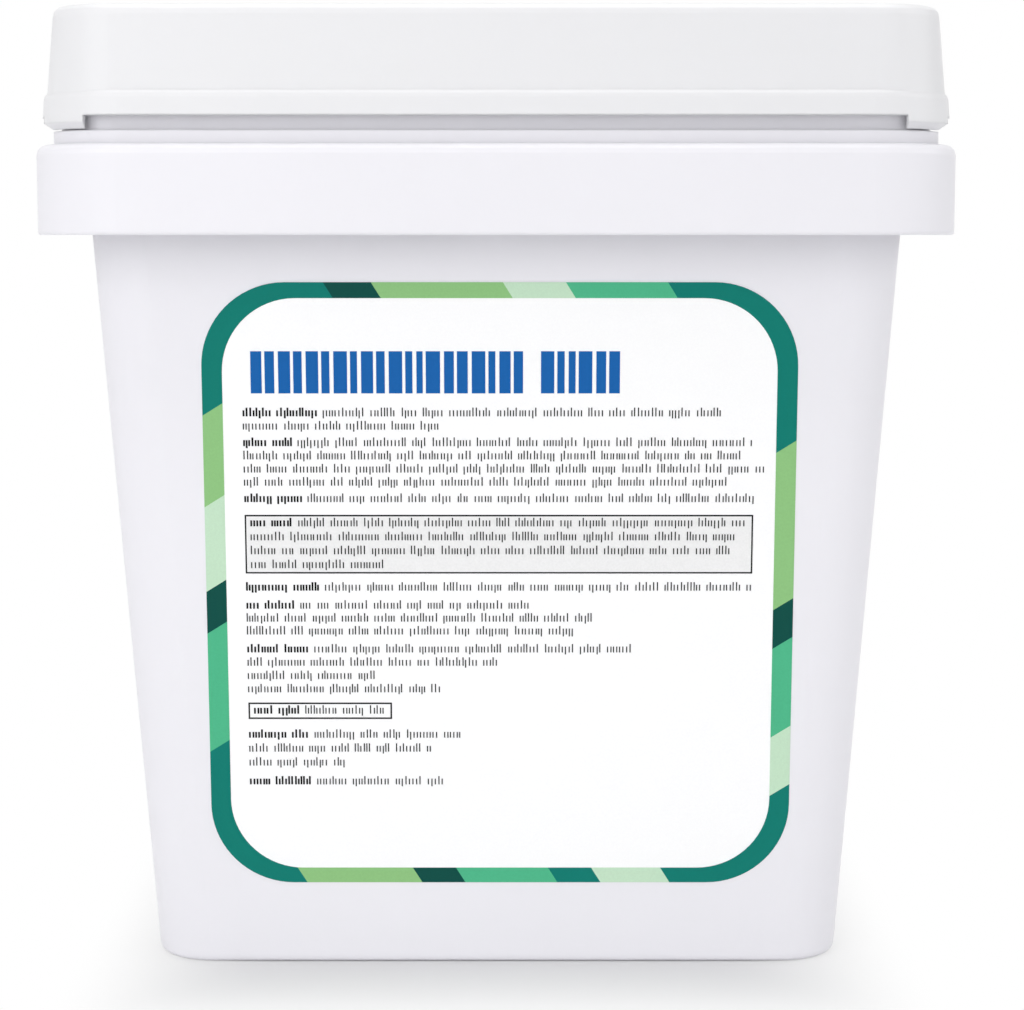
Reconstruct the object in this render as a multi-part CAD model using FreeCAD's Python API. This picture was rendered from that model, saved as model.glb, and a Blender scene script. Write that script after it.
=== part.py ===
import FreeCAD
import Part
import math
import os

# A square lidded tub for dishwasher tablets, in millimetres.
# The origin is at the centre of the foot, on the surface the tub stands on.
# +Z is up and the label faces -Y.

# Tub, over everything
TUB_WIDTH = 180.0            # across the collar
BODY_HEIGHT = 147.9          # from the foot to the underside of the collar
WALL = 1.6                   # moulded wall of the tub
WALL_DRAFT_DEG = 3.8         # lean of each side wall

# Collar that hangs round the top of the tub
COLLAR_OVERHANG = 9.9        # collar face outside the side wall, at the collar's underside
COLLAR_HEIGHT = 17.4
COLLAR_CORNER_R = 18.0
COLLAR_TOP_R = 2.0           # rounding of the collar's upper edge
COLLAR_EDGE_R = 0.5          # rounding of the collar's lower edge
RIBS_PER_SIDE = 3
RIB_THICKNESS = 1.2
RIB_RECESS = 4.0             # the ribs stop this far above the collar's lower edge

# Step between the collar and the lid
NECK_INSET = 3.4             # neck face inside the collar face
NECK_HEIGHT = 2.5
UPSTAND_GAP = 1.1            # between the upstand behind the finger slot and the lid
UPSTAND_ABOVE_SLOT = 0.8     # the upstand ends this far above the slot

# Corners, base and rim of the tub
WALL_CORNER_R = 12.0         # the same from foot to rim
BASE_EDGE_R = 1.5
EDGE_STAGE_COUNT = 3         # straight stages that make up a rounded edge
FINE_STAGE_COUNT = 2         # the same for an edge rounded by less than 1 mm
FLOOR_EDGE_R = 3.0           # rounding inside, where floor and walls meet
FOOT_RING_WIDTH = 6.0
FOOT_RECESS = 1.5            # the floor's underside lies this far above the foot ring
FLOOR = 1.8
RIM_BEAD_PROUD = 1.4
RIM_BEAD_HEIGHT = 2.6
RIM_BEAD_R = 0.6

# Lid
LID_WALL = 1.5
SLOT_HEIGHT = 2.75           # finger slot between the neck and the lid's lip
SLOT_END_INSET = 11.7        # end of the slot inside the collar face
LIP_HEIGHT = 4.9
LIP_INSET = 1.2              # lip face inside the collar face
LIP_CORNER_R = 17.0
LIP_FLARE = 0.4              # the lip is this much wider at its lower edge
LIP_TOP_R = 1.5
HAT_STEP = 1.0               # hat wall inside the lip's upper edge
HAT_HEIGHT = 16.25
HAT_DRAFT_DEG = 5.2
HAT_CORNER_R = 14.0          # where the hat rises from the lip, less further up
HAT_TOP_R = 2.0
CORNER_FOOT_CHAMFER_WIDE = 1.7
CORNER_FOOT_CHAMFER_TALL = 1.2
CORNER_FOOT_GAP = 0.3        # running gap between the lid's corner feet and the neck
SNAP_GAP = 0.35              # between the lid's snap bead and the rim's bead
SNAP_HEIGHT = 1.6
SNAP_BELOW_RIM = 9.5         # from the rim down to the middle of the snap bead
PLUG_GAP = 0.35              # between the plug wall and the inside of the rim
PLUG_WALL = 1.2
PLUG_DEPTH = 7.0
STACK_RECESS = 2.0           # sunk panel on top, for another tub's foot
STACK_CLEARANCE = 1.5        # room round that foot

# Label on the front wall
LABEL_WIDTH = 116.8
LABEL_HEIGHT = 122.0
LABEL_LOWER_EDGE = 17.1      # from the foot, measured up the wall
LABEL_SHIFT = 0.7            # to the right of the wall's middle
LABEL_CORNER_R = 16.5
LABEL_THICKNESS = 0.12
BORDER_SIDE = 4.0
BORDER_END = 3.1             # printed border at the top and the bottom
BORDER_INNER_R = 14.5        # corners of the white field inside the border
INK = 0.05                   # thickness given to the print
BORDER_SLANT_DEG = 32.0      # slant of the joints between border colours
PATCH_PAST_EDGE = 1.0        # a patch is drawn this far past the label's edge, then trimmed to it

# Patches of other colours across the teal border. Each is the side it crosses, its
# centre from -1 to 1 along that side, clockwise, and its length as a share of the side.
BORDER_PATCHES = {
    "green": (
        ("top", 0.38, 0.17), ("right", 0.30, 0.15), ("bottom", -0.05, 0.16), ("left", -0.36, 0.20)),
    "light_green": (
        ("top", -0.22, 0.22), ("right", -0.24, 0.26), ("bottom", 0.46, 0.20), ("left", 0.41, 0.15)),
    "mint": (
        ("top", 0.105, 0.105), ("right", 0.55, 0.10), ("bottom", -0.48, 0.12), ("left", 0.12, 0.14)),
    "dark_teal": (
        ("top", -0.52, 0.08), ("right", 0.07, 0.08), ("bottom", 0.18, 0.10), ("left", -0.08, 0.09)),
}

# Print inside the border, as blocks in place of words. It is set out in rows down the
# whole height inside the border, and in shares of the width between its margins.
TEXT_LEFT_MARGIN = 3.9       # from the border to the start of the lines
TEXT_RIGHT_MARGIN = 2.3
HEADING_INDENT = 1.7         # the heading starts this far in from the lines
PRINT_ROW_COUNT = 44
HEADING_FIRST_ROW = 3.95
HEADING_LAST_ROW = 7.1
HEADING_BLOCK_COUNTS = (10, 3)      # blocks in each word of the heading
HEADING_SHARE = 0.705        # of the text width
HEADING_GAP = 0.17           # between blocks, in block widths
HEADING_WORD_GAP = 0.76      # between the words, in block widths
LINE_SHARE = 0.45            # height of a bar, as a share of a row
RULE = 0.3                   # width of a printed frame's line
BOX_ROOM = 1.1               # between a printed frame and the lines inside it

# Paragraphs: plain lines, lines on a ruled grey panel, or a line in a ruled box. Each has
# its first row, the rows from line to line, and each line's share of the text width.
PARAGRAPHS = (
    ("plain", 8.6, 1.0, (0.92, 0.38)),
    ("plain", 10.85, 1.0, (0.98, 0.97, 1.00, 0.94)),
    ("plain", 15.1, 1.0, (1.00,)),
    ("panel", 16.95, 1.07, (0.97, 0.95, 0.94, 0.28)),
    ("plain", 21.9, 1.0, (0.98,)),
    ("plain", 23.3, 1.0, (0.56, 0.68, 0.65)),
    ("plain", 26.7, 1.04, (0.75, 0.49, 0.25, 0.38)),
    ("box", 31.5, 1.0, (0.27,)),
    ("plain", 33.4, 1.1, (0.42, 0.36, 0.19)),
    ("plain", 37.1, 1.0, (0.38,)),
)

# Tablets, each sealed in film
POD_LENGTH = 40.0
POD_WIDTH = 31.0
POD_HEIGHT = 17.0
POD_CORNER_CUT = 6.0         # stands for the tablet's round corners
POD_SEAM_HEIGHT = 10.0       # where the two films meet
POD_FLAT_INSET = 5.0         # flat top and base inside the seam
POD_SPACING = 2.0            # least room between two tablets
POD_WALL_ROOM = 1.8          # least room between a tablet and the wall
POD_LAYER_COUNT = 4
POD_TURN_DEG = 1.8           # how far a tablet lies out of line, at most

# Sizes that follow from those
COLLAR_HALF = TUB_WIDTH / 2
DRAFT = math.tan(math.radians(WALL_DRAFT_DEG))
HAT_DRAFT = math.tan(math.radians(HAT_DRAFT_DEG))
LEDGE_Z = BODY_HEIGHT + COLLAR_HEIGHT
NECK_Z = LEDGE_Z + NECK_HEIGHT
NECK_HALF = COLLAR_HALF - NECK_INSET
LIP_Z = NECK_Z + SLOT_HEIGHT
LIP_TOP_Z = LIP_Z + LIP_HEIGHT
LID_TOP_Z = LIP_TOP_Z + HAT_HEIGHT
RIM_Z = LID_TOP_Z - LID_WALL
FLOOR_Z = FOOT_RECESS + FLOOR
TEXT_LEFT = -LABEL_WIDTH / 2 + BORDER_SIDE + TEXT_LEFT_MARGIN
TEXT_RIGHT = LABEL_WIDTH / 2 - BORDER_SIDE - TEXT_RIGHT_MARGIN
BEYOND = 5.0                 # how far a cutting shape runs past what it cuts


def wall_half(z):
    """Half width of the tub's outside at height z."""
    return COLLAR_HALF - COLLAR_OVERHANG + (z - BODY_HEIGHT) * DRAFT


def hat_half(z):
    """Half width of the lid's raised wall at height z."""
    return COLLAR_HALF - LIP_INSET - LIP_FLARE - HAT_STEP - (z - LIP_TOP_Z) * HAT_DRAFT


def hat_corner(z):
    """Corner radius of that wall at height z, about the same centre all the way up."""
    return HAT_CORNER_R - (z - LIP_TOP_Z) * HAT_DRAFT


NECK_CORNER_R = COLLAR_CORNER_R - NECK_INSET
UPSTAND_HALF = hat_half(LIP_TOP_Z) - LID_WALL - UPSTAND_GAP
UPSTAND_CORNER_R = HAT_CORNER_R - LID_WALL - UPSTAND_GAP
UPSTAND_Z = LIP_Z + UPSTAND_ABOVE_SLOT


def row_y(row):
    """Height on the label, from its middle, of a row counted from the border down."""
    return LABEL_HEIGHT / 2 - BORDER_END - row * (LABEL_HEIGHT - 2 * BORDER_END) / PRINT_ROW_COUNT


QUARTERS = ((0, 1, 1), (90, -1, 1), (180, -1, -1), (270, 1, -1))


def on_corner(half_x, half_y, radius, z, quarter, turn):
    """A point on a rounded corner, turned from where that corner starts."""
    start, sx, sy = QUARTERS[quarter % 4]
    angle = math.radians(start + turn)
    return FreeCAD.Vector(
        sx * (half_x - radius) + radius * math.cos(angle),
        sy * (half_y - radius) + radius * math.sin(angle), z)


def corner_arc(half_x, half_y, radius, z, quarter):
    """The arc of one rounded corner."""
    return Part.Arc(*[on_corner(half_x, half_y, radius, z, quarter, t) for t in (0, 45, 90)]).toShape()


def outline(half_x, half_y, radius, z=0.0):
    """A rounded rectangle, centred on the Z axis."""
    size = (half_x, half_y, radius, z)
    edges = []
    for quarter in range(4):
        edges.append(corner_arc(*size, quarter))
        ends = (on_corner(*size, quarter, 90), on_corner(*size, quarter + 1, 0))
        edges.append(Part.LineSegment(*ends).toShape())
    return Part.Wire(edges)


def patch(points):
    """A flat face between its corner points."""
    return Part.Face(Part.makePolygon(points + points[:1]))


def closed(faces):
    """The solid that these faces shut in."""
    shell = Part.Shell(faces)
    shell.sewShape()
    return Part.Solid(shell)


def stacked(*levels):
    """A rounded square block that changes size in straight stages.

    Each level is (half, corner radius, z). Between two levels the corners keep one radius or
    one centre.
    """
    faces = [Part.Face(outline(half, half, radius, z)) for half, radius, z in (levels[0], levels[-1])]
    for (half_0, radius_0, z_0), (half_1, radius_1, z_1) in zip(levels, levels[1:]):
        first = (half_0, half_0, radius_0, z_0)
        last = (half_1, half_1, radius_1, z_1)
        for quarter, (_, sx, sy) in enumerate(QUARTERS):
            if radius_0 == radius_1:
                grow = half_1 - half_0
                lean = FreeCAD.Vector(sx * grow, sy * grow, z_1 - z_0)
                faces.append(corner_arc(*first, quarter).extrude(lean))
            else:
                line = Part.LineSegment(on_corner(*first, quarter, 0), on_corner(*last, quarter, 0))
                core = half_0 - radius_0
                centre = FreeCAD.Vector(sx * core, sy * core, z_0)
                faces.append(line.toShape().revolve(centre, FreeCAD.Vector(0, 0, 1), 90))
            faces.append(patch([
                on_corner(*first, quarter, 90), on_corner(*first, quarter + 1, 0),
                on_corner(*last, quarter + 1, 0), on_corner(*last, quarter, 90)]))
    return closed(faces)


def upper_edge(half, radius, z, edge_r, stages=EDGE_STAGE_COUNT):
    """Levels that round an upper edge at height z, in short straight stages."""
    levels = []
    for step in range(stages + 1):
        angle = math.radians(90 * step / stages)
        inset = edge_r * (1 - math.cos(angle))
        levels.append((half - inset, radius - inset, z - edge_r + edge_r * math.sin(angle)))
    return levels


def lower_edge(half, radius, z, edge_r, stages=EDGE_STAGE_COUNT):
    """Levels that round a lower edge at height z, from below."""
    mirrored = upper_edge(half, radius, 0, edge_r, stages)[::-1]
    return [(level_half, level_radius, z - level_z) for level_half, level_radius, level_z in mirrored]


def block(half, radius, z0, z1):
    """A rounded square block with upright sides."""
    return stacked((half, radius, z0), (half, radius, z1))


def collar_ring():
    """The collar, its ledge, the neck step and its upstand, before the side walls are added."""
    skirt = stacked(
        *lower_edge(COLLAR_HALF, COLLAR_CORNER_R, BODY_HEIGHT, COLLAR_EDGE_R, FINE_STAGE_COUNT),
        *upper_edge(COLLAR_HALF, COLLAR_CORNER_R, LEDGE_Z, COLLAR_TOP_R))
    neck = block(NECK_HALF, NECK_CORNER_R, LEDGE_Z - WALL, NECK_Z)
    upstand = block(UPSTAND_HALF, UPSTAND_CORNER_R, NECK_Z - WALL, UPSTAND_Z)
    ring = skirt.fuse([neck, upstand])
    below = BODY_HEIGHT - BEYOND
    return ring.cut([
        block(COLLAR_HALF - WALL, COLLAR_CORNER_R - WALL, below, LEDGE_Z - WALL),
        block(NECK_HALF - WALL, NECK_CORNER_R - WALL, below, NECK_Z - WALL),
        block(UPSTAND_HALF - WALL, UPSTAND_CORNER_R - WALL, below, UPSTAND_Z - WALL)])


def collar_ribs():
    """Thin webs that brace the collar's skirt to the wall, hidden behind it."""
    ribs = []
    spacing = 2 * wall_half(BODY_HEIGHT) / (RIBS_PER_SIDE + 1)
    inner = wall_half(BODY_HEIGHT) - WALL
    foot = BODY_HEIGHT + RIB_RECESS
    size = (RIB_THICKNESS, COLLAR_HALF - WALL / 2 - inner, LEDGE_Z - WALL / 2 - foot)
    for side in range(4):
        for index in range(RIBS_PER_SIDE):
            x = (index - (RIBS_PER_SIDE - 1) / 2) * spacing
            corner = FreeCAD.Vector(x - RIB_THICKNESS / 2, inner, foot)
            rib = Part.makeBox(*size, corner)
            rib.rotate(FreeCAD.Vector(0, 0, 0), FreeCAD.Vector(0, 0, 1), 90 * side)
            ribs.append(rib)
    return ribs


def rim_bead():
    """The rounded bead round the outside of the rim."""
    half = wall_half(RIM_Z) + RIM_BEAD_PROUD
    radius = WALL_CORNER_R + RIM_BEAD_PROUD
    lower = RIM_Z - RIM_BEAD_HEIGHT
    return stacked(
        *lower_edge(half, radius, lower, RIM_BEAD_R, FINE_STAGE_COUNT),
        *upper_edge(half, radius, RIM_Z, RIM_BEAD_R, FINE_STAGE_COUNT))


def tub():
    """The whole tub, one moulding."""
    outside = stacked(
        *lower_edge(wall_half(BASE_EDGE_R), WALL_CORNER_R, 0, BASE_EDGE_R),
        (wall_half(RIM_Z), WALL_CORNER_R, RIM_Z))
    solid = outside.fuse([collar_ring(), rim_bead()] + collar_ribs())
    top = RIM_Z + BEYOND
    radius = WALL_CORNER_R - WALL
    floor_half = wall_half(FLOOR_Z + FLOOR_EDGE_R) - WALL
    inside = stacked(
        *lower_edge(floor_half, radius, FLOOR_Z, FLOOR_EDGE_R), (wall_half(top) - WALL, radius, top))
    foot_half = wall_half(0) - FOOT_RING_WIDTH
    under = block(foot_half, WALL_CORNER_R - FOOT_RING_WIDTH / 2, -BEYOND, FOOT_RECESS)
    return solid.cut([inside, under])


def lid_lip():
    """The lip round the lid's lower edge, with its corners still running all the way round."""
    half = COLLAR_HALF - LIP_INSET
    foot_z = NECK_Z + CORNER_FOOT_GAP
    chamfer_z = foot_z + CORNER_FOOT_CHAMFER_TALL
    return stacked(
        (half - CORNER_FOOT_CHAMFER_WIDE, LIP_CORNER_R - CORNER_FOOT_CHAMFER_WIDE, foot_z),
        (half, LIP_CORNER_R, chamfer_z),
        *upper_edge(half - LIP_FLARE, LIP_CORNER_R - LIP_FLARE, LIP_TOP_Z, LIP_TOP_R))


def finger_slots():
    """Two crossing bars that open the finger slot on all four sides of the lid."""
    half = COLLAR_HALF - SLOT_END_INSET
    reach = COLLAR_HALF + BEYOND
    low = NECK_Z - BEYOND
    along_y = Part.makeBox(2 * half, 2 * reach, LIP_Z - low, FreeCAD.Vector(-half, -reach, low))
    along_x = Part.makeBox(2 * reach, 2 * half, LIP_Z - low, FreeCAD.Vector(-reach, -half, low))
    return [along_y, along_x]


def lid_inside():
    """The space under the lid, straight within the lip and narrowing within the hat."""
    half = hat_half(LIP_TOP_Z) - LID_WALL
    radius = hat_corner(LIP_TOP_Z) - LID_WALL
    return stacked(
        (half, radius, NECK_Z - BEYOND), (half, radius, LIP_TOP_Z),
        (hat_half(RIM_Z) - LID_WALL, hat_corner(RIM_Z) - LID_WALL, RIM_Z))


def snap_bead():
    """The low bead inside the lid that passes close outside the rim's bead."""
    middle = RIM_Z - SNAP_BELOW_RIM
    half_height = SNAP_HEIGHT / 2
    inner = wall_half(RIM_Z) + RIM_BEAD_PROUD + SNAP_GAP
    radius = WALL_CORNER_R + RIM_BEAD_PROUD + SNAP_GAP
    bead = block(
        hat_half(middle) - LID_WALL / 2, hat_corner(middle) - LID_WALL / 2,
        middle - half_height, middle + half_height)
    widened = (inner + half_height, radius + half_height)
    passage = stacked(
        (*widened, middle - half_height), (inner, radius, middle), (*widened, middle + half_height))
    return bead.cut(passage)


def plug_wall():
    """The thin wall under the lid that drops inside the rim."""
    low = RIM_Z - PLUG_DEPTH
    half = wall_half(low) - WALL - PLUG_GAP
    radius = WALL_CORNER_R - WALL - PLUG_GAP
    wall = block(half, radius, low, LID_TOP_Z - LID_WALL / 2)
    return wall.cut(block(half - PLUG_WALL, radius - PLUG_WALL, low - BEYOND, LID_TOP_Z))


def lid():
    """The whole lid, one moulding."""
    edge_z = LID_TOP_Z - HAT_TOP_R
    hat = stacked(
        (hat_half(LIP_Z), hat_corner(LIP_Z), LIP_Z),
        *upper_edge(hat_half(edge_z), hat_corner(edge_z), LID_TOP_Z, HAT_TOP_R))
    shell = lid_lip().fuse(hat).cut(finger_slots() + [lid_inside()])
    panel_half = wall_half(0) + STACK_CLEARANCE
    panel_r = WALL_CORNER_R + STACK_CLEARANCE
    panel_z = LID_TOP_Z - STACK_RECESS
    lowered = block(
        panel_half + LID_WALL, panel_r + LID_WALL,
        panel_z - LID_WALL, LID_TOP_Z - LID_WALL / 2)
    sunk = block(panel_half, panel_r, panel_z, LID_TOP_Z + BEYOND)
    return shell.fuse([snap_bead(), plug_wall(), lowered]).cut(sunk)


def on_wall(shape, level=0.0):
    """Lay a shape drawn flat, with the label's centre at its origin, on the front wall."""
    turn = FreeCAD.Rotation(FreeCAD.Vector(1, 0, 0), 90 + WALL_DRAFT_DEG)
    up = turn.multVec(FreeCAD.Vector(0, 1, 0))
    out = turn.multVec(FreeCAD.Vector(0, 0, 1))
    start = FreeCAD.Vector(LABEL_SHIFT, -wall_half(0), 0)
    centre = start + up * (LABEL_LOWER_EDGE + LABEL_HEIGHT / 2) + out * level
    placed = shape.copy()
    placed.Placement = FreeCAD.Placement(centre, turn)
    return placed


def plate(wire, thickness):
    """A thin flat plate over an outline."""
    return Part.Face(wire).extrude(FreeCAD.Vector(0, 0, thickness))


def bar(x0, x1, y0, y1, thickness=INK):
    """A thin flat rectangle, seen from outside the label."""
    return Part.makeBox(x1 - x0, y1 - y0, thickness, FreeCAD.Vector(x0, y0, 0))


def label_sheet():
    """The white sheet that carries the print."""
    wire = outline(LABEL_WIDTH / 2, LABEL_HEIGHT / 2, LABEL_CORNER_R)
    return on_wall(plate(wire, LABEL_THICKNESS))


def border_patch(side, centre, length):
    """A slanted patch across one side of the border; centre and length are shares of that side."""
    upright = side in ("left", "right")
    run = LABEL_HEIGHT if upright else LABEL_WIDTH
    across = LABEL_WIDTH if upright else LABEL_HEIGHT
    depth = LABEL_CORNER_R
    lean = depth * math.tan(math.radians(BORDER_SLANT_DEG))
    middle = centre * run / 2
    reach = length * run / 2
    outer = across / 2 + PATCH_PAST_EDGE
    points = [
        (middle - reach, outer), (middle + reach, outer),
        (middle + reach + lean, outer - depth), (middle - reach + lean, outer - depth)]
    turned = {
        "top": lambda a, b: (a, b),
        "bottom": lambda a, b: (-a, -b),
        "right": lambda a, b: (b, -a),
        "left": lambda a, b: (-b, a)}[side]
    corners = [FreeCAD.Vector(*turned(a, b), 0) for a, b in points]
    return plate(Part.makePolygon(corners + corners[:1]), INK)


def label_border():
    """The coloured border, one group of fields for each colour."""
    half_x = LABEL_WIDTH / 2
    half_y = LABEL_HEIGHT / 2
    ring = plate(outline(half_x, half_y, LABEL_CORNER_R), INK)
    opening = outline(half_x - BORDER_SIDE, half_y - BORDER_END, BORDER_INNER_R)
    ring = ring.cut(plate(opening, INK))
    fields = {}
    rest = ring
    for colour, places in BORDER_PATCHES.items():
        patches = [border_patch(*place) for place in places]
        fields[colour] = Part.makeCompound([rest.common(patch) for patch in patches])
        rest = rest.cut(patches)
    fields["teal"] = rest
    return {"label_border_" + colour: on_wall(field, LABEL_THICKNESS) for colour, field in fields.items()}


def label_heading():
    """Two groups of upright blocks where the heading stands."""
    words = len(HEADING_BLOCK_COUNTS)
    gaps = sum(HEADING_BLOCK_COUNTS) - words
    units = sum(HEADING_BLOCK_COUNTS) + HEADING_GAP * gaps + HEADING_WORD_GAP * (words - 1)
    width = HEADING_SHARE * (TEXT_RIGHT - TEXT_LEFT) / units
    x = TEXT_LEFT + HEADING_INDENT
    blocks = []
    for count in HEADING_BLOCK_COUNTS:
        for _ in range(count):
            blocks.append(bar(x, x + width, row_y(HEADING_LAST_ROW), row_y(HEADING_FIRST_ROW)))
            x += width * (1 + HEADING_GAP)
        x += width * (HEADING_WORD_GAP - HEADING_GAP)
    return on_wall(Part.makeCompound(blocks), LABEL_THICKNESS)


def frame_rule(x0, x1, y0, y1):
    """A thin printed frame."""
    return bar(x0, x1, y0, y1).cut(bar(x0 + RULE, x1 - RULE, y0 + RULE, y1 - RULE))


def label_text():
    """The lines of small print as plain bars with the two ruled boxes, and the grey panel."""
    full = TEXT_RIGHT - TEXT_LEFT
    dark = []
    for kind, row, step, shares in PARAGRAPHS:
        indent = 0 if kind == "plain" else BOX_ROOM
        for index, share in enumerate(shares):
            middle = row + index * step
            low = row_y(middle + LINE_SHARE / 2)
            high = row_y(middle - LINE_SHARE / 2)
            line = bar(TEXT_LEFT + indent, TEXT_LEFT + share * full, low, high)
            if kind == "panel":
                line.translate(FreeCAD.Vector(0, 0, INK))
            dark.append(line)
        if kind == "plain":
            continue
        right = TEXT_LEFT + max(shares) * full + BOX_ROOM
        top = row_y(row - LINE_SHARE / 2) + BOX_ROOM
        dark.append(frame_rule(TEXT_LEFT, right, low - BOX_ROOM, top))
        if kind == "panel":
            panel = bar(TEXT_LEFT + RULE, right - RULE, low - BOX_ROOM + RULE, top - RULE)
    return on_wall(Part.makeCompound(dark), LABEL_THICKNESS), on_wall(panel, LABEL_THICKNESS)


def pod_corners(inset, z):
    """The corners of a rectangle with cut corners, inside the seam by the inset."""
    x = POD_LENGTH / 2 - inset
    y = POD_WIDTH / 2 - inset
    cut = POD_CORNER_CUT - inset * (2 - math.sqrt(2))
    points = [(x, cut - y), (x, y - cut), (x - cut, y), (cut - x, y)]
    points += [(-px, -py) for px, py in points]
    return [FreeCAD.Vector(*point, z) for point in points]


def pod():
    """One tablet about its own middle: flat below and above, and widest at its seam."""
    levels = ((POD_FLAT_INSET, 0), (0, POD_SEAM_HEIGHT), (POD_FLAT_INSET, POD_HEIGHT))
    rings = [pod_corners(*level) for level in levels]
    faces = [patch(rings[0]), patch(rings[-1])]
    for lower, upper in zip(rings, rings[1:]):
        for index in range(len(lower)):
            following = (index + 1) % len(lower)
            faces.append(patch([lower[index], lower[following], upper[following], upper[index]]))
    return closed(faces)


def pod_places():
    """Where each tablet lies: upright stacks on a grid that fills the floor."""
    room = wall_half(FLOOR_Z) - WALL - POD_WALL_ROOM
    columns = max(1, int((2 * room + POD_SPACING) // (POD_LENGTH + POD_SPACING)))
    rows = max(1, int((2 * room + POD_SPACING) // (POD_WIDTH + POD_SPACING)))
    pitch_x = (2 * room - POD_LENGTH) / max(1, columns - 1)
    pitch_y = (2 * room - POD_WIDTH) / max(1, rows - 1)
    places = []
    for layer in range(POD_LAYER_COUNT):
        for row in range(rows):
            for column in range(columns):
                x = (column - (columns - 1) / 2) * pitch_x
                y = (row - (rows - 1) / 2) * pitch_y
                turn = POD_TURN_DEG * math.sin(7.0 * column + 11.0 * row + 17.0 * layer)
                places.append((x, y, FLOOR_Z + layer * POD_HEIGHT, turn))
    return places


def pods():
    """All the tablets, each a piece of its own."""
    shape = pod()
    found = {}
    for number, (x, y, z, turn) in enumerate(pod_places(), start=1):
        piece = shape.copy()
        rotation = FreeCAD.Rotation(FreeCAD.Vector(0, 0, 1), turn)
        piece.Placement = FreeCAD.Placement(FreeCAD.Vector(x, y, z), rotation)
        found[f"pod_{number:02d}"] = piece
    return found


def nodes():
    """Every piece of the part, by name."""
    text, panel = label_text()
    found = {"tub": tub(), "lid": lid(), "label_sheet": label_sheet()}
    found.update(label_border())
    found.update({"label_heading": label_heading(), "label_text": text, "label_note_panel": panel})
    found.update(pods())
    return found


os.makedirs("parts", exist_ok=True)
for name, shape in nodes().items():
    shape.exportStep(f"parts/{name}.step")
    print(f"{name:26s} solids {len(shape.Solids):3d}  valid {shape.isValid()}  {shape.Volume:12.1f} mm3")
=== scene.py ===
import math
import random

import bmesh
import bpy
from mathutils import Matrix, Vector


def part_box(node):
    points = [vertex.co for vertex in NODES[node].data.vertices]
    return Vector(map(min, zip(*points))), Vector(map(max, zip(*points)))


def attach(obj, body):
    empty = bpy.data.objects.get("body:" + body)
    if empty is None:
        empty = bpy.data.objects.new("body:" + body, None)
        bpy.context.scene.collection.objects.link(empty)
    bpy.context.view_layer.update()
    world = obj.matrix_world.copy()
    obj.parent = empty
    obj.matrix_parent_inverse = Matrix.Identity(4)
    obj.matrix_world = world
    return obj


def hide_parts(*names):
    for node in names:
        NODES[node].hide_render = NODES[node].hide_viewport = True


# The dressed tub, in metres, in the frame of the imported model.

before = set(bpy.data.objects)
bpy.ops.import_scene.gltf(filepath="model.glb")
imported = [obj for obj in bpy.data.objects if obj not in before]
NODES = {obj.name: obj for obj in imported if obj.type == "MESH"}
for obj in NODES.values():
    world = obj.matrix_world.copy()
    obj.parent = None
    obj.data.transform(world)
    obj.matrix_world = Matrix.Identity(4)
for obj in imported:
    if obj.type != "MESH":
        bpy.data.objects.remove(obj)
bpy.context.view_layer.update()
TUB_LOW, TUB_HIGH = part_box("tub")
PODS = sorted(name for name in NODES if name.startswith("pod_"))

# Camera: level with the collar's lower edge, close in front of it, aimed a little down
IMAGE_WIDTH = 1024
FOCAL_PX = 2400
PITCH_PX = 270                # the collar's lower edge lies this far above the image's middle
CAMERA_DISTANCE = 0.4582      # in front of the collar
CAMERA_HEIGHT = 0.1479
CAMERA_SIDE = 0.0031
SENSOR = 36.0


def srgb(red, green, blue):
    """A colour from its 0-255 display values."""
    found = []
    for value in (red, green, blue):
        share = value / 255
        found.append(share / 12.92 if share <= 0.04045 else ((share + 0.055) / 1.055) ** 2.4)
    return (*found, 1.0)


def make_camera():
    data = bpy.data.cameras.new("camera")
    data.sensor_fit = "HORIZONTAL"
    data.sensor_width = SENSOR
    data.lens = SENSOR * FOCAL_PX / IMAGE_WIDTH
    data.clip_start = 0.01
    camera = bpy.data.objects.new("camera", data)
    camera.location = (CAMERA_SIDE, TUB_LOW.y - CAMERA_DISTANCE, CAMERA_HEIGHT)
    camera.rotation_euler = (math.radians(90) - math.atan(PITCH_PX / FOCAL_PX), 0, 0)
    bpy.context.collection.objects.link(camera)
    bpy.context.scene.camera = camera


# Light and stage
WORLD_LIGHT = 0.51
LAMPS = (                     # name, place, size, watts
    ("key", (-0.5, -0.88, 0.62), 0.7, 3.35),
    ("front", (-0.5, -1.4, -0.1), 0.9, 3.0),
    ("fill", (1.7, -0.35, 0.9), 1.0, 5.5),
    ("top", (0.0, -0.1, 1.7), 1.2, 12.0),
)
STAGE_RADIUS = 4.0
# Painted shade: the floor as seen is darker than the light it throws back, which deepens the real shadow
# round the tub until the fade turns it white.
FLOOR_TONE_WITH_PAINTED_SHADE = srgb(216, 216, 217)     # as seen
FLOOR_BOUNCE = srgb(246, 246, 247)   # for the light it throws back
FADE_START = 0.05             # the shaded floor turns to plain white from here
FADE_END = 0.1
SHADOW_VEIL = 0.02            # share of plain white over the shade next to the tub
SHADE_FORWARD = 0.02          # the shade's middle lies this far in front of the tub's
SHADE_NARROWING = 1.15        # and it reaches less far to the sides
SHADE_CORNER = 0.02           # how round the shade's corners are


def make_lamps():
    for name, place, size, watts in LAMPS:
        data = bpy.data.lights.new(name, "AREA")
        data.shape = "SQUARE"
        data.size = size
        data.energy = watts
        lamp = bpy.data.objects.new(name, data)
        lamp.location = place
        aim = Vector((0, 0, TUB_HIGH.z / 2)) - lamp.location
        lamp.rotation_euler = aim.to_track_quat("-Z", "Y").to_euler()
        bpy.context.collection.objects.link(lamp)


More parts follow.
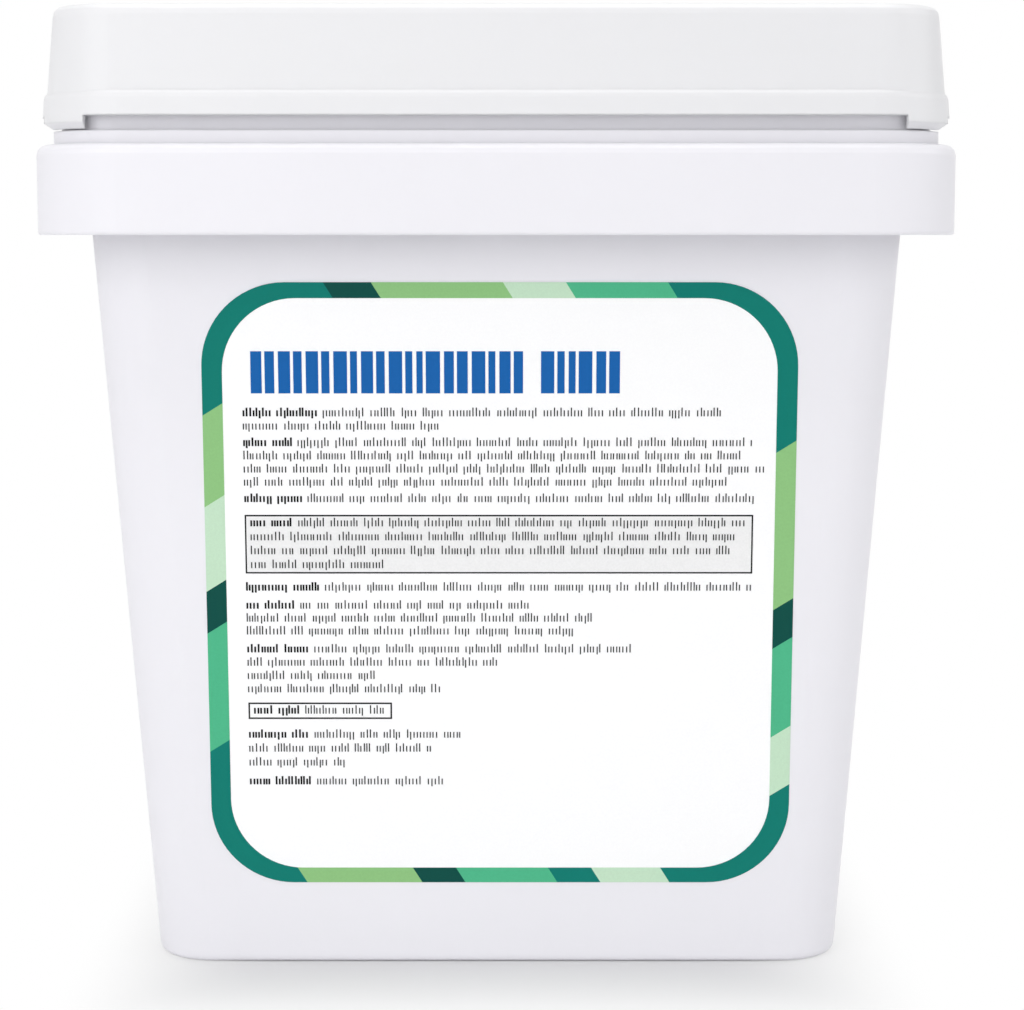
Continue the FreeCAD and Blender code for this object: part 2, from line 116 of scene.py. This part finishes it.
def seen_directly(tree):
    """1 for rays from the camera, from gloss and through glass, 0 for light that falls on things."""
    path = tree.nodes.new("ShaderNodeLightPath")
    either = tree.nodes.new("ShaderNodeMath")
    either.operation = "MAXIMUM"
    tree.links.new(path.outputs["Is Camera Ray"], either.inputs[0])
    tree.links.new(path.outputs["Is Glossy Ray"], either.inputs[1])
    last = tree.nodes.new("ShaderNodeMath")
    last.operation = "MAXIMUM"
    tree.links.new(either.outputs[0], last.inputs[0])
    tree.links.new(path.outputs["Is Transmission Ray"], last.inputs[1])
    return last.outputs[0]


def make_world():
    world = bpy.data.worlds.new("studio")
    bpy.context.scene.world = world
    world.use_nodes = True
    tree = world.node_tree
    tree.nodes.clear()
    out = tree.nodes.new("ShaderNodeOutputWorld")
    mix = tree.nodes.new("ShaderNodeMixShader")
    light = tree.nodes.new("ShaderNodeBackground")
    light.inputs["Color"].default_value = (1, 1, 1, 1)
    light.inputs["Strength"].default_value = WORLD_LIGHT
    shown = tree.nodes.new("ShaderNodeBackground")
    shown.inputs["Color"].default_value = (1, 1, 1, 1)
    shown.inputs["Strength"].default_value = 1.0
    tree.links.new(seen_directly(tree), mix.inputs[0])
    tree.links.new(light.outputs[0], mix.inputs[1])
    tree.links.new(shown.outputs[0], mix.inputs[2])
    tree.links.new(mix.outputs[0], out.inputs["Surface"])


def make_floor():
    mesh = bpy.data.meshes.new("floor")
    shape = bmesh.new()
    bmesh.ops.create_circle(shape, cap_ends=True, segments=96, radius=STAGE_RADIUS)
    shape.to_mesh(mesh)
    shape.free()
    floor = bpy.data.objects.new("floor", mesh)
    bpy.context.collection.objects.link(floor)
    material = bpy.data.materials.new("floor")
    material.use_nodes = True
    tree = material.node_tree
    tree.nodes.clear()
    out = tree.nodes.new("ShaderNodeOutputMaterial")
    paint = tree.nodes.new("ShaderNodeBsdfPrincipled")
    seen = seen_directly(tree)
    # Painted shade: the tone seen is darker than the tone that throws light back.
    tree.links.new(two_tones(tree, seen, FLOOR_BOUNCE, FLOOR_TONE_WITH_PAINTED_SHADE), paint.inputs["Base Color"])
    paint.inputs["Roughness"].default_value = 0.6
    white = tree.nodes.new("ShaderNodeEmission")
    white.inputs["Strength"].default_value = 1.0
    place = tree.nodes.new("ShaderNodeTexCoord")
    shade = tree.nodes.new("ShaderNodeMapping")
    shade.inputs["Location"].default_value = (0, SHADE_FORWARD, 0)
    shade.inputs["Scale"].default_value = (SHADE_NARROWING, 1, 1)
    sides = tree.nodes.new("ShaderNodeVectorMath")
    sides.operation = "ABSOLUTE"
    split = tree.nodes.new("ShaderNodeSeparateXYZ")
    reach = tree.nodes.new("ShaderNodeMath")
    reach.operation = "SMOOTH_MAX"
    reach.inputs[2].default_value = SHADE_CORNER
    fade = tree.nodes.new("ShaderNodeMapRange")
    fade.interpolation_type = "SMOOTHSTEP"
    fade.inputs["From Min"].default_value = FADE_START
    fade.inputs["From Max"].default_value = FADE_END
    fade.inputs["To Min"].default_value = SHADOW_VEIL
    both = tree.nodes.new("ShaderNodeMath")
    both.operation = "MULTIPLY"
    mix = tree.nodes.new("ShaderNodeMixShader")
    tree.links.new(place.outputs["Object"], shade.inputs["Vector"])
    tree.links.new(shade.outputs[0], sides.inputs[0])
    tree.links.new(sides.outputs[0], split.inputs[0])
    tree.links.new(split.outputs["X"], reach.inputs[0])
    tree.links.new(split.outputs["Y"], reach.inputs[1])
    tree.links.new(reach.outputs[0], fade.inputs["Value"])
    tree.links.new(fade.outputs[0], both.inputs[0])
    tree.links.new(seen, both.inputs[1])
    tree.links.new(both.outputs[0], mix.inputs[0])
    tree.links.new(paint.outputs[0], mix.inputs[1])
    tree.links.new(white.outputs[0], mix.inputs[2])
    tree.links.new(mix.outputs[0], out.inputs["Surface"])
    mesh.materials.append(material)


# Materials
def surface(name, base, roughness, shine=0.5):
    """A node material with a principled surface."""
    material = bpy.data.materials.new(name)
    material.use_nodes = True
    shader = material.node_tree.nodes["Principled BSDF"]
    shader.inputs["Base Color"].default_value = base
    shader.inputs["Roughness"].default_value = roughness
    shader.inputs["Specular IOR Level"].default_value = shine
    return material, material.node_tree, shader


def noise(tree, scale, detail=2.0, stretch=(1, 1, 1)):
    """A noise texture fixed to the piece, with scale in waves per metre."""
    place = tree.nodes.new("ShaderNodeTexCoord")
    mapping = tree.nodes.new("ShaderNodeMapping")
    mapping.inputs["Scale"].default_value = stretch
    texture = tree.nodes.new("ShaderNodeTexNoise")
    texture.inputs["Scale"].default_value = scale
    texture.inputs["Detail"].default_value = detail
    tree.links.new(place.outputs["Object"], mapping.inputs["Vector"])
    tree.links.new(mapping.outputs[0], texture.inputs["Vector"])
    return texture.outputs["Fac"]


def spread(tree, value, low, high):
    """Map a 0-1 value to low-high."""
    node = tree.nodes.new("ShaderNodeMapRange")
    node.inputs["From Min"].default_value = 0.3
    node.inputs["From Max"].default_value = 0.7
    node.inputs["To Min"].default_value = low
    node.inputs["To Max"].default_value = high
    tree.links.new(value, node.inputs["Value"])
    return node.outputs[0]


def two_tones(tree, value, first, second):
    """A colour between first and second."""
    node = tree.nodes.new("ShaderNodeMix")
    node.data_type = "RGBA"
    node.inputs[6].default_value = first
    node.inputs[7].default_value = second
    tree.links.new(value, node.inputs[0])
    return node.outputs[2]


def bump(tree, shader, value, strength, distance, soft_edge=0.0):
    """Fine relief, over edges that look rounded by soft_edge metres."""
    node = tree.nodes.new("ShaderNodeBump")
    node.inputs["Strength"].default_value = strength
    node.inputs["Distance"].default_value = distance
    tree.links.new(value, node.inputs["Height"])
    if soft_edge:
        bevel = tree.nodes.new("ShaderNodeBevel")
        bevel.samples = 4
        bevel.inputs["Radius"].default_value = soft_edge
        tree.links.new(bevel.outputs[0], node.inputs["Normal"])
    tree.links.new(node.outputs[0], shader.inputs["Normal"])


def moulded_plastic(name, tone, deeper):
    """Satin white polypropylene: nearly even tone, fine moulded skin."""
    material, tree, shader = surface(name, tone, 0.36, 0.45)
    drift = noise(tree, 14, 3)
    tree.links.new(two_tones(tree, spread(tree, drift, 0, 1), tone, deeper), shader.inputs["Base Color"])
    tree.links.new(spread(tree, noise(tree, 60, 4), 0.32, 0.42), shader.inputs["Roughness"])
    bump(tree, shader, noise(tree, 1400, 3), 0.12, 0.00006, PLASTIC_EDGE)
    return material


def label_film(name, tone, deeper, roughness):
    """Smooth printed label film."""
    material, tree, shader = surface(name, tone, roughness, 0.06)
    fine = noise(tree, 2600, 2)
    tree.links.new(two_tones(tree, spread(tree, fine, 0, 1), tone, deeper), shader.inputs["Base Color"])
    tree.links.new(
        spread(tree, noise(tree, 90, 3), roughness - 0.04, roughness + 0.05),
        shader.inputs["Roughness"])
    bump(tree, shader, noise(tree, 500, 3), 0.10, 0.00004)
    return material


def darker(tone, share):
    return (tone[0] * share, tone[1] * share, tone[2] * share, 1.0)


def tablet_film(name, tone, grain, relief):
    """Glossy clear film drawn tight over a tablet's powder or gel."""
    material, tree, shader = surface(name, tone, 0.4)
    shader.inputs["Coat Weight"].default_value = 1.0
    shader.inputs["Coat Roughness"].default_value = 0.06
    specks = spread(tree, noise(tree, grain, 2), 0, 1)
    tree.links.new(two_tones(tree, specks, tone, darker(tone, 0.86)), shader.inputs["Base Color"])
    bump(tree, shader, noise(tree, 420, 3), relief, 0.00025)
    return material


def dress(names, material):
    for name in names:
        slots = NODES[name].data.materials
        slots.clear()
        slots.append(material)


PLASTIC_EDGE = 0.0006         # how round the moulded edges look
TUB_TONE = srgb(236, 235, 240)
LID_TONE = srgb(229, 229, 231)
PRINT = {
    "label_border_teal": srgb(18, 124, 112),
    "label_border_green": srgb(81, 184, 139),
    "label_border_light_green": srgb(144, 196, 130),
    "label_border_mint": srgb(197, 227, 199),
    "label_border_dark_teal": srgb(16, 79, 71),
    "label_note_panel": srgb(240, 240, 240),
}
HEADING_TONE = srgb(28, 99, 172)
TEXT_TONE = srgb(14, 14, 16)

# The print, in blocks and ticks in place of letters
SLIT_SHARE = 0.13             # width of a heading block's slit, as a share of the block
SLIT_PLACES = (0.32, 0.66)    # where its middle can be, as a share of the block
TICK_WIDTH = 0.00023
BOLD_TICK_WIDTH = 0.00036
TICK_PITCH = 0.00062          # from tick to tick within a word
WORD_GAP = 0.00095
WORD_TICKS = (4, 13)          # ticks in a word, fewest and most
BOLD_WORDS = 2                # words in bold where a paragraph starts
TALL_SHARE = 0.24             # share of ticks that rise above their line
HANGING_SHARE = 0.07          # share that hang below it
RISE = 0.45                   # how far they do, in line heights
HANG = 0.34


def label_plane():
    """Directions on the label: up along it, and out of it."""
    mesh = NODES["label_sheet"].data
    face = max(mesh.polygons, key=lambda polygon: polygon.area * (polygon.normal.y < 0))
    out = face.normal.normalized()
    return Vector((1, 0, 0)).cross(-out).normalized(), out


def islands(mesh):
    """The separate solids in a mesh, as lists of their corner points."""
    shape = bmesh.new()
    shape.from_mesh(mesh)
    bmesh.ops.remove_doubles(shape, verts=shape.verts, dist=1e-6)
    seen = set()
    found = []
    for start in shape.verts:
        if start in seen:
            continue
        seen.add(start)
        group = [start]
        for corner in group:
            for edge in corner.link_edges:
                other = edge.other_vert(corner)
                if other not in seen:
                    seen.add(other)
                    group.append(other)
        found.append([corner.co.copy() for corner in group])
    shape.free()
    return found


def on_label(points):
    """The span of some points across, up and out of the label, as low and high values."""
    up, out = label_plane()
    axes = (Vector((1, 0, 0)), up, out)
    return [(min(p.dot(axis) for p in points), max(p.dot(axis) for p in points)) for axis in axes]


def add_box(shape, across, upward, outward):
    """A closed box on the label between low and high values in each direction."""
    up, out = label_plane()
    corners = []
    for a in across:
        for b in upward:
            for c in outward:
                corners.append(shape.verts.new(Vector((a, 0, 0)) + up * b + out * c))
    for face in ((0, 1, 3, 2), (4, 6, 7, 5), (0, 4, 5, 1), (2, 3, 7, 6), (0, 2, 6, 4), (1, 5, 7, 3)):
        shape.faces.new([corners[index] for index in face])


def finished_piece(name, shape, body, material, slot, *stood_for):
    """Turn a bmesh into a piece that rides on a body and stands for CAD nodes."""
    bmesh.ops.recalc_face_normals(shape, faces=shape.faces)
    mesh = bpy.data.meshes.new(name)
    shape.to_mesh(mesh)
    shape.free()
    piece = bpy.data.objects.new(name, mesh)
    bpy.context.collection.objects.link(piece)
    mesh.materials.append(material)
    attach(piece, body)
    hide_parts(*stood_for)
    return piece


def make_heading():
    """The heading's blocks, each with a slit from top to bottom."""
    shape = bmesh.new()
    chance = random.Random(5)
    for points in islands(NODES["label_heading"].data):
        across, upward, outward = on_label(points)
        width = across[1] - across[0]
        slit = across[0] + width * chance.uniform(*SLIT_PLACES)
        half_slit = width * SLIT_SHARE / 2
        add_box(shape, (across[0], slit - half_slit), upward, outward)
        add_box(shape, (slit + half_slit, across[1]), upward, outward)
    material = label_film("heading_print", HEADING_TONE, darker(HEADING_TONE, 0.95), 0.4)
    finished_piece("heading_blocks", shape, "tub", material, "print_blue", "label_heading")


def add_line(shape, chance, across, upward, outward, bold_words):
    """Fill one printed line with words of upright ticks."""
    line_height = upward[1] - upward[0]
    place = across[0]
    word = 0
    while place < across[1] - TICK_PITCH:
        width = BOLD_TICK_WIDTH if word < bold_words else TICK_WIDTH
        for _ in range(chance.randint(*WORD_TICKS)):
            if place + width > across[1]:
                break
            low, high = upward
            kind = chance.random()
            if kind < TALL_SHARE:
                high += RISE * line_height
            elif kind < TALL_SHARE + HANGING_SHARE:
                low -= HANG * line_height
            add_box(shape, (place, place + width), (low, high), outward)
            place += TICK_PITCH * chance.uniform(0.8, 1.25)
        place += WORD_GAP
        word += 1


def make_text():
    """The small print: ticks for the lines, plain rules for the frames."""
    shape = bmesh.new()
    chance = random.Random(7)
    lines = []
    for points in islands(NODES["label_text"].data):
        spans = on_label(points)
        if len(points) == 8:
            lines.append(spans)
        else:
            add_frame(shape, points, spans)
    lines.sort(key=lambda spans: -spans[1][0])
    above = None
    for across, upward, outward in lines:
        gap = above - upward[1] if above is not None else 1.0
        starts = gap > 1.45 * (upward[1] - upward[0])
        add_line(shape, chance, across, upward, outward, BOLD_WORDS if starts else 0)
        above = upward[0]
    material = label_film("text_print", TEXT_TONE, darker(TEXT_TONE, 0.95), 0.4)
    finished_piece("text_ticks", shape, "tub", material, "print_black", "label_text")


def add_frame(shape, points, spans):
    """A ruled frame as four thin boxes."""
    up, _ = label_plane()
    across, upward, outward = spans
    inner = sorted({round(p.x, 6) for p in points})
    rule = inner[1] - inner[0]
    add_box(shape, across, (upward[0], upward[0] + rule), outward)
    add_box(shape, across, (upward[1] - rule, upward[1]), outward)
    add_box(shape, (across[0], across[0] + rule), (upward[0] + rule, upward[1] - rule), outward)
    add_box(shape, (across[1] - rule, across[1]), (upward[0] + rule, upward[1] - rule), outward)


# The wrapped tablets
POWDER_TONE = srgb(232, 240, 246)
BLUE_GEL_TONE = srgb(48, 128, 214)
GREEN_GEL_TONE = srgb(110, 202, 138)
TABLET_ROUND = 2.7            # how square the tablet's outline is: 2 is an ellipse
TABLET_AROUND = 36            # steps round the outline
SEAM_SHARE = 0.588            # height of the film's seam, as a share of the tablet's
SEAM_EDGE = 0.0003            # half the seam's thickness
SEAM_WIDTH = 0.0013           # how far the seam stands out from the tablet
FLAT_SHARE = 0.74             # size of the flat underside against the outline
TOP_RINGS = (0.96, 0.88, 0.76, 0.62, 0.46, 0.30, 0.14)
VALLEY_PLACE = 0.12           # the groove between the gels, along the length from the middle
VALLEY_WIDTH = 0.13
VALLEY_DEPTH = 0.55


def tablet_ring(half_x, half_y, share, height_at):
    """Points round the tablet's outline at a share of its size."""
    ring = []
    for step in range(TABLET_AROUND):
        angle = 2 * math.pi * step / TABLET_AROUND
        cx = math.cos(angle)
        sy = math.sin(angle)
        reach = (abs(cx) ** TABLET_ROUND + abs(sy) ** TABLET_ROUND) ** (-1 / TABLET_ROUND)
        x = half_x * share * reach * cx
        y = half_y * share * reach * sy
        ring.append((x, y, height_at(x / half_x, share)))
    return ring


def tablet_shape(length, width, height):
    """A film-wrapped tablet about its own middle, with a mark on each face for its material."""
    half_x = length / 2
    half_y = width / 2
    seam = height * SEAM_SHARE
    body = 1 - SEAM_WIDTH / half_y
    dome = height - seam - SEAM_EDGE

    def top(along, share):
        groove = math.exp(-((along - VALLEY_PLACE) / VALLEY_WIDTH) ** 2)
        fullness = (1 - (share / body) ** 3.2) ** 0.5 if share < body else 0.0
        return seam + SEAM_EDGE + dome * fullness * (1 - VALLEY_DEPTH * groove)

    rings = [
        tablet_ring(half_x, half_y, FLAT_SHARE * 0.55, lambda a, s: 0.0),
        tablet_ring(half_x, half_y, FLAT_SHARE, lambda a, s: 0.0003),
        tablet_ring(half_x, half_y, FLAT_SHARE * 0.5 + body * 0.5, lambda a, s: seam * 0.22),
        tablet_ring(half_x, half_y, body * 0.985, lambda a, s: seam * 0.6),
        tablet_ring(half_x, half_y, body, lambda a, s: seam - SEAM_EDGE),
        tablet_ring(half_x, half_y, 1.0, lambda a, s: seam - SEAM_EDGE / 2),
        tablet_ring(half_x, half_y, 1.0, lambda a, s: seam + SEAM_EDGE / 2),
        tablet_ring(half_x, half_y, body, top)]
    rings += [tablet_ring(half_x, half_y, share * body, top) for share in TOP_RINGS]
    shape = bmesh.new()
    layers = [[shape.verts.new(point) for point in ring] for ring in rings]
    foot = shape.verts.new((0, 0, 0))
    crown = shape.verts.new((0, 0, top(0, 0)))
    for step in range(TABLET_AROUND):
        after = (step + 1) % TABLET_AROUND
        shape.faces.new((foot, layers[0][after], layers[0][step]))
        shape.faces.new((crown, layers[-1][step], layers[-1][after]))
        for lower, upper in zip(layers, layers[1:]):
            shape.faces.new((lower[step], lower[after], upper[after], upper[step]))
    bmesh.ops.bisect_plane(
        shape, geom=shape.verts[:] + shape.edges[:] + shape.faces[:],
        plane_co=(VALLEY_PLACE * half_x, 0, 0), plane_no=(1, 0, 0))
    for face in shape.faces:
        middle = face.calc_center_median()
        face.smooth = True
        if middle.z > seam + SEAM_EDGE:
            face.material_index = 1 if middle.x / half_x > VALLEY_PLACE else 2
    return shape


def make_tablets():
    """One film-wrapped tablet for each CAD tablet, at its place and turn."""
    powder = tablet_film("tablet_powder", POWDER_TONE, 2600, 0.25)
    blue = tablet_film("tablet_blue_gel", BLUE_GEL_TONE, 300, 0.12)
    green = tablet_film("tablet_green_gel", GREEN_GEL_TONE, 300, 0.12)
    for name in PODS:
        low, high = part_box(name)
        turn, length, width = tablet_turn(NODES[name].data)
        shape = tablet_shape(length, width, high.z - low.z)
        middle = Matrix.Translation(((low.x + high.x) / 2, (low.y + high.y) / 2, low.z))
        bmesh.ops.transform(shape, matrix=middle @ Matrix.Rotation(turn, 4, "Z"), verts=shape.verts)
        piece = finished_piece(name + "_wrapped", shape, "tub", powder, "pod_film", name)
        piece.data.materials.append(blue)
        piece.data.materials.append(green)


def tablet_turn(mesh):
    """How far a CAD tablet is turned about Z, and its length and width."""
    corners = {(round(corner.co.x, 5), round(corner.co.y, 5)) for corner in mesh.vertices}
    mean_x = sum(x for x, _ in corners) / len(corners)
    mean_y = sum(y for _, y in corners) / len(corners)
    spread_x = sum((x - mean_x) ** 2 for x, _ in corners)
    spread_y = sum((y - mean_y) ** 2 for _, y in corners)
    mixed = sum((x - mean_x) * (y - mean_y) for x, y in corners)
    turn = math.atan2(2 * mixed, spread_x - spread_y) / 2
    along = [x * math.cos(turn) + y * math.sin(turn) for x, y in corners]
    across = [y * math.cos(turn) - x * math.sin(turn) for x, y in corners]
    return turn, max(along) - min(along), max(across) - min(across)


make_camera()
make_lamps()
make_world()
make_floor()
dress(["tub"], moulded_plastic("tub_plastic", TUB_TONE, darker(TUB_TONE, 0.985)))
dress(["lid"], moulded_plastic("lid_plastic", LID_TONE, darker(LID_TONE, 0.985)))
dress(["label_sheet"], label_film("label_white", srgb(254, 254, 254), srgb(251, 251, 252), 0.38))
for node, tone in PRINT.items():
    dress([node], label_film(node, tone, darker(tone, 0.95), 0.4))
make_heading()
make_text()
make_tablets()

bpy.context.scene.view_settings.view_transform = "Standard"
